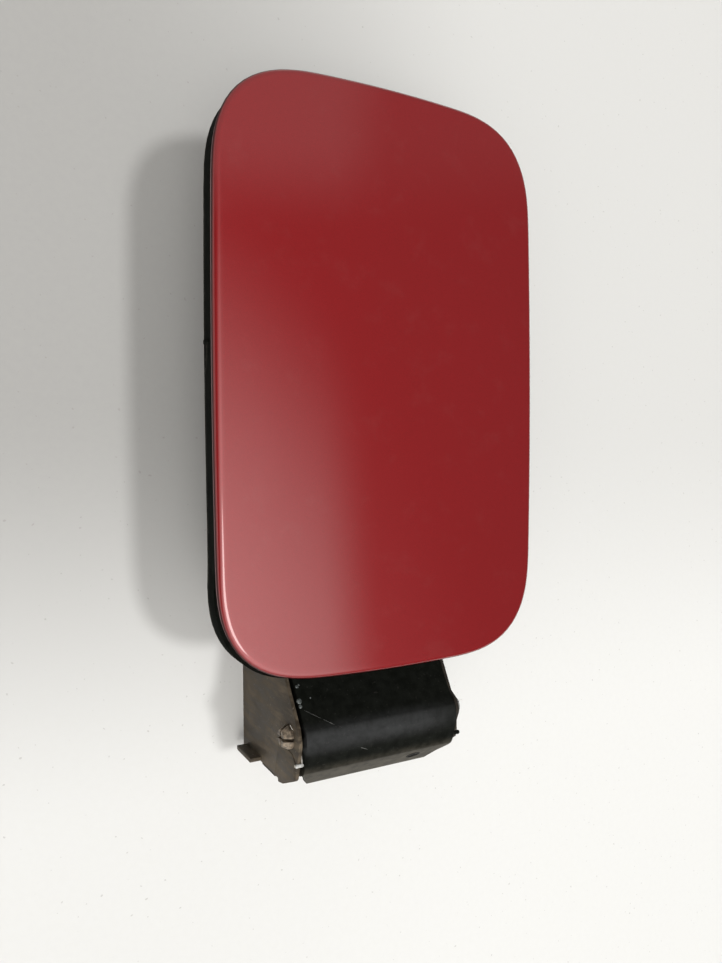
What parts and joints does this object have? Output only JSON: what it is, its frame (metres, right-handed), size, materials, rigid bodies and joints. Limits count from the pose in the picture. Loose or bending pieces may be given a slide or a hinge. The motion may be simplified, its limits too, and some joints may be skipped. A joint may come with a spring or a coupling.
{
  "type": "fuel filler flap",
  "caption": "Painted flap on a gooseneck arm that swings on a cross pin in a U-shaped hinge bracket, held shut by wire springs.",
  "frame": {"origin": "middle of the hinge bracket's mounting face", "axes": "+Z out of the mounting face and along the closed flap's outward normal, +Y from the hinge to the flap's free end, +X along the hinge axis"},
  "size_m": [0.1124, 0.217, 0.059],
  "materials": {
    "red_paint": "metallic lacquer",
    "carrier_plastic": "satin moulded",
    "bracket_plastic": "moulded, dusty",
    "pin_plastic": "moulded, dirty",
    "spring_steel": "drawn wire",
    "buffer_rubber": "matt"
  },
  "bodies": {
    "bracket": {"hinge_bracket": "bracket_plastic", "hinge_pin": "pin_plastic", "spring_left": "spring_steel", "spring_right": "spring_steel"},
    "flap": {"outer_panel": "red_paint", "flap_carrier": "carrier_plastic", "buffer_left": "buffer_rubber", "buffer_right": "buffer_rubber"}
  },
  "joints": [
    {"name": "flap_hinge", "type": "hinge", "parent": "bracket", "child": "flap", "pos_m": [0, -0.0094, 0.0432], "axis": [1, 0, 0], "range_deg": [0, 100], "stiffness_Nm_per_rad": 0.1, "springref_deg": -28.65, "deforming": ["spring_left", "spring_right"]}
  ]
}
